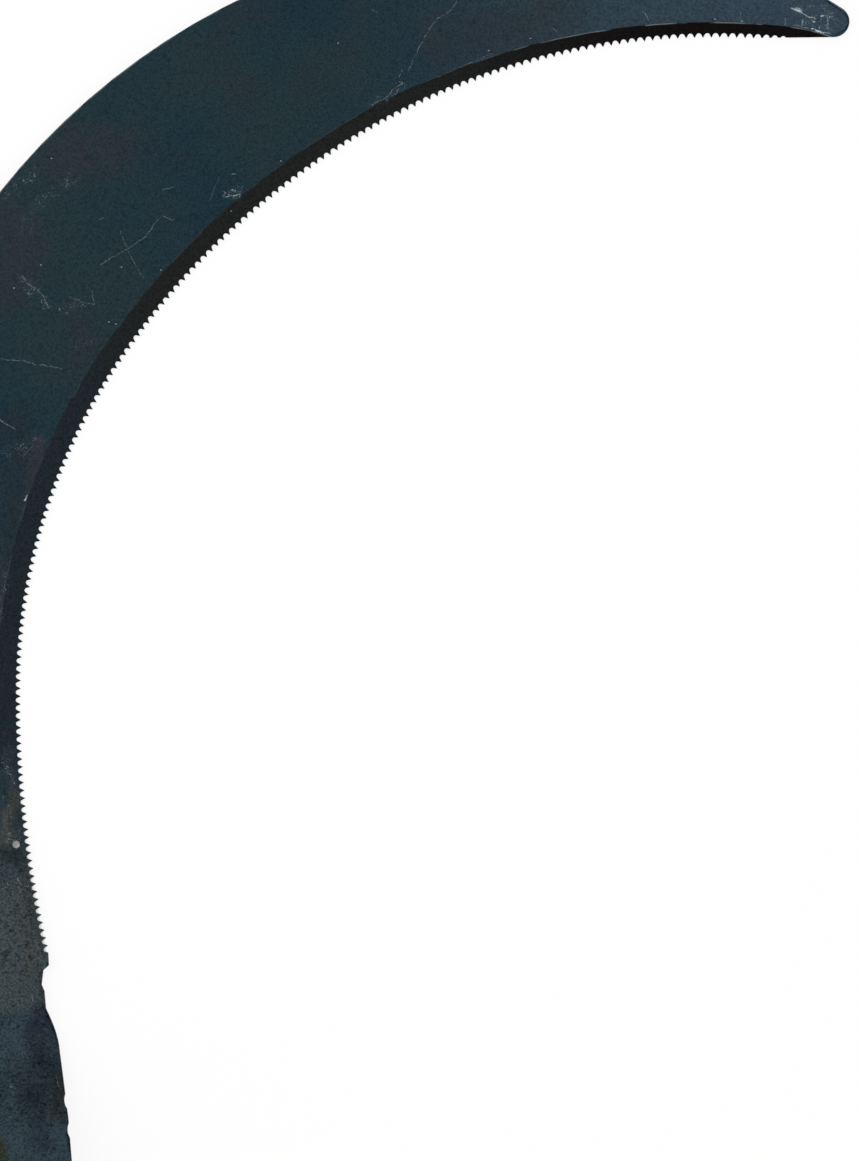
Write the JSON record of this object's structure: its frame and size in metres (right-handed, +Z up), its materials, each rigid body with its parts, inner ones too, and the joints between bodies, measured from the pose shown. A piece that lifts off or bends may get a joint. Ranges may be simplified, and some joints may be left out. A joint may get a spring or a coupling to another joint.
{
  "type": "sickle",
  "caption": "Reaping sickle with a long crescent blade, finely toothed inner edge, cranked neck and turned wooden handle held by rivets and a steel ferrule.",
  "frame": {"origin": "bottom centre of the whole sickle's box, on the plane that it lies on", "axes": "+Y along the handle's axis towards the blade, +X to the side that the crescent opens to, +Z up, square to the flat of the blade"},
  "size_m": [0.2364, 0.4044, 0.0288],
  "materials": {
    "blade_steel": "blued forge scale, worn, with a darker ground edge",
    "handle_wood": "turned hardwood, oiled and worn",
    "ferrule_steel": "dark mild steel band",
    "rivet_steel": "peened mild steel",
    "burr_brass": "dull stamped brass"
  },
  "bodies": {
    "root": {"blade": "blade_steel", "handle": "handle_wood", "ferrule": "ferrule_steel", "rivet_front": "rivet_steel", "rivet_middle": "rivet_steel", "rivet_rear": "rivet_steel", "burr_front_top": "burr_brass", "burr_front_bottom": "burr_brass", "burr_middle_top": "burr_brass", "burr_middle_bottom": "burr_brass", "burr_rear_top": "burr_brass", "burr_rear_bottom": "burr_brass", "ferrule_brad_top": "rivet_steel", "ferrule_brad_bottom": "rivet_steel"}
  },
  "joints": []
}
